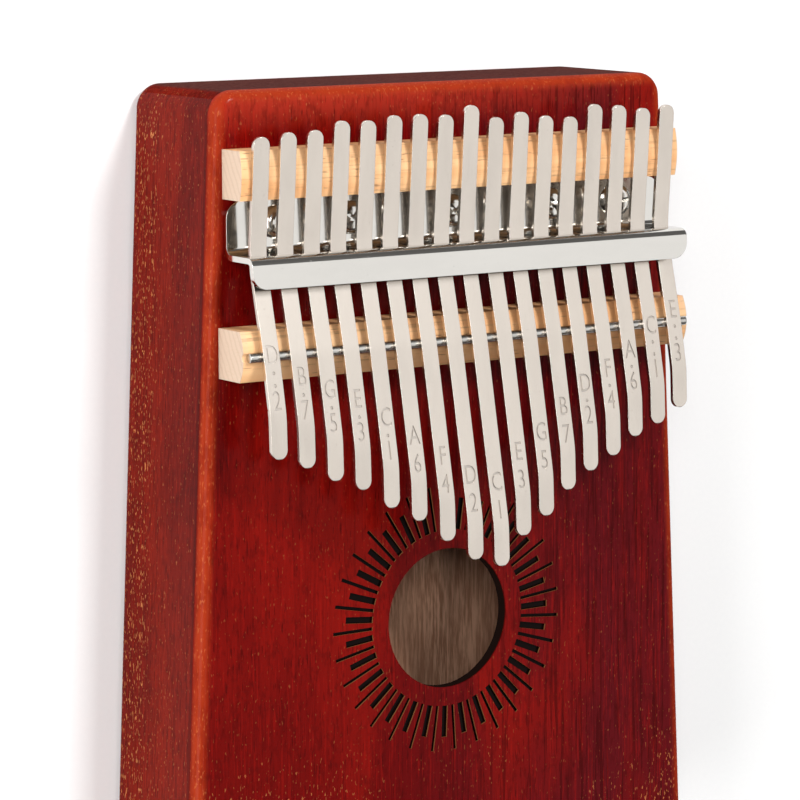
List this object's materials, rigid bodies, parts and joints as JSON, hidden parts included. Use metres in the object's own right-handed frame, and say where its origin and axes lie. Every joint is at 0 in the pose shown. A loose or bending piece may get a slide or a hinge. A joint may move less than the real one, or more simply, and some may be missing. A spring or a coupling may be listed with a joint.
{
  "type": "thumb piano",
  "caption": "Hollow tapered wooden box lamellophone: spring-steel tines clamped between two pale bridges by a bent plated bar, over a round sound hole with engraved rays.",
  "frame": {"origin": "middle of the back face, on the surface that the box lies on", "axes": "+Z out of the sound board, +Y towards the head end that the tines' held ends point at, +X to the player's right as seen from the front with the head end up"},
  "size_m": [0.135, 0.185, 0.0572],
  "materials": {
    "stained_wood": "red stained mahogany, satin clear coat",
    "inner_wood": "plain sawn hardwood inside the box",
    "pale_wood": "bare pale beech",
    "rod_steel": "drawn steel rod",
    "plated_sheet": "bright nickel plated sheet steel",
    "screw_steel": "nickel plated screws",
    "tine_steel": "satin nickel plated spring steel"
  },
  "bodies": {
    "box": {"sound_board": "stained_wood", "back_board": "stained_wood", "left_side": "stained_wood", "right_side": "stained_wood", "head_wall": "stained_wood", "tail_wall": "stained_wood", "clamp_block": "inner_wood", "back_bridge": "pale_wood", "front_bridge": "pale_wood", "saddle_rod": "rod_steel", "clamp_plate": "plated_sheet", "clamp_screws": "screw_steel", "held_end_01": "tine_steel", "held_end_02": "tine_steel", "held_end_03": "tine_steel", "held_end_04": "tine_steel", "held_end_05": "tine_steel", "held_end_06": "tine_steel", "held_end_07": "tine_steel", "held_end_08": "tine_steel", "held_end_09": "tine_steel", "held_end_10": "tine_steel", "held_end_11": "tine_steel", "held_end_12": "tine_steel", "held_end_13": "tine_steel", "held_end_14": "tine_steel", "held_end_15": "tine_steel", "held_end_16": "tine_steel", "held_end_17": "tine_steel"},
    "tine_01": {"tongue_01": "tine_steel"},
    "tine_02": {"tongue_02": "tine_steel"},
    "tine_03": {"tongue_03": "tine_steel"},
    "tine_04": {"tongue_04": "tine_steel"},
    "tine_05": {"tongue_05": "tine_steel"},
    "tine_06": {"tongue_06": "tine_steel"},
    "tine_07": {"tongue_07": "tine_steel"},
    "tine_08": {"tongue_08": "tine_steel"},
    "tine_09": {"tongue_09": "tine_steel"},
    "tine_10": {"tongue_10": "tine_steel"},
    "tine_11": {"tongue_11": "tine_steel"},
    "tine_12": {"tongue_12": "tine_steel"},
    "tine_13": {"tongue_13": "tine_steel"},
    "tine_14": {"tongue_14": "tine_steel"},
    "tine_15": {"tongue_15": "tine_steel"},
    "tine_16": {"tongue_16": "tine_steel"},
    "tine_17": {"tongue_17": "tine_steel"}
  },
  "joints": [
    {"name": "tine_01_bend", "type": "hinge", "parent": "box", "child": "tine_01", "pos_m": [-0.05392, 0.0361, 0.0463], "axis": [1, 0, 0], "range_deg": [-1.5, 3.5], "stiffness_Nm_per_rad": 9.22},
    {"name": "tine_02_bend", "type": "hinge", "parent": "box", "child": "tine_02", "pos_m": [-0.04718, 0.0361, 0.0463], "axis": [1, 0, 0], "range_deg": [-1.5, 3.5], "stiffness_Nm_per_rad": 8.3},
    {"name": "tine_03_bend", "type": "hinge", "parent": "box", "child": "tine_03", "pos_m": [-0.04044, 0.0361, 0.0463], "axis": [1, 0, 0], "range_deg": [-1.5, 3.5], "stiffness_Nm_per_rad": 7.3},
    {"name": "tine_04_bend", "type": "hinge", "parent": "box", "child": "tine_04", "pos_m": [-0.0337, 0.0361, 0.0463], "axis": [1, 0, 0], "range_deg": [-1.5, 3.5], "stiffness_Nm_per_rad": 6.69},
    {"name": "tine_05_bend", "type": "hinge", "parent": "box", "child": "tine_05", "pos_m": [-0.02696, 0.0361, 0.0463], "axis": [1, 0, 0], "range_deg": [-1.5, 3.5], "stiffness_Nm_per_rad": 5.81},
    {"name": "tine_06_bend", "type": "hinge", "parent": "box", "child": "tine_06", "pos_m": [-0.02022, 0.0361, 0.0463], "axis": [1, 0, 0], "range_deg": [-1.5, 3.5], "stiffness_Nm_per_rad": 5.29},
    {"name": "tine_07_bend", "type": "hinge", "parent": "box", "child": "tine_07", "pos_m": [-0.01348, 0.0361, 0.0463], "axis": [1, 0, 0], "range_deg": [-1.5, 3.5], "stiffness_Nm_per_rad": 4.67},
    {"name": "tine_08_bend", "type": "hinge", "parent": "box", "child": "tine_08", "pos_m": [-0.00674, 0.0361, 0.0463], "axis": [1, 0, 0], "range_deg": [-1.5, 3.5], "stiffness_Nm_per_rad": 4.21},
    {"name": "tine_09_bend", "type": "hinge", "parent": "box", "child": "tine_09", "pos_m": [0, 0.0361, 0.0463], "axis": [1, 0, 0], "range_deg": [-1.5, 3.5], "stiffness_Nm_per_rad": 4.03},
    {"name": "tine_10_bend", "type": "hinge", "parent": "box", "child": "tine_10", "pos_m": [0.00674, 0.0361, 0.0463], "axis": [1, 0, 0], "range_deg": [-1.5, 3.5], "stiffness_Nm_per_rad": 4.59},
    {"name": "tine_11_bend", "type": "hinge", "parent": "box", "child": "tine_11", "pos_m": [0.01348, 0.0361, 0.0463], "axis": [1, 0, 0], "range_deg": [-1.5, 3.5], "stiffness_Nm_per_rad": 5.01},
    {"name": "tine_12_bend", "type": "hinge", "parent": "box", "child": "tine_12", "pos_m": [0.02022, 0.0361, 0.0463], "axis": [1, 0, 0], "range_deg": [-1.5, 3.5], "stiffness_Nm_per_rad": 5.75},
    {"name": "tine_13_bend", "type": "hinge", "parent": "box", "child": "tine_13", "pos_m": [0.02696, 0.0361, 0.0463], "axis": [1, 0, 0], "range_deg": [-1.5, 3.5], "stiffness_Nm_per_rad": 6.41},
    {"name": "tine_14_bend", "type": "hinge", "parent": "box", "child": "tine_14", "pos_m": [0.0337, 0.0361, 0.0463], "axis": [1, 0, 0], "range_deg": [-1.5, 3.5], "stiffness_Nm_per_rad": 7.04},
    {"name": "tine_15_bend", "type": "hinge", "parent": "box", "child": "tine_15", "pos_m": [0.04044, 0.0361, 0.0463], "axis": [1, 0, 0], "range_deg": [-1.5, 3.5], "stiffness_Nm_per_rad": 8.1},
    {"name": "tine_16_bend", "type": "hinge", "parent": "box", "child": "tine_16", "pos_m": [0.04718, 0.0361, 0.0463], "axis": [1, 0, 0], "range_deg": [-1.5, 3.5], "stiffness_Nm_per_rad": 8.93},
    {"name": "tine_17_bend", "type": "hinge", "parent": "box", "child": "tine_17", "pos_m": [0.05392, 0.0361, 0.0463], "axis": [1, 0, 0], "range_deg": [-1.5, 3.5], "stiffness_Nm_per_rad": 10.36}
  ]
}
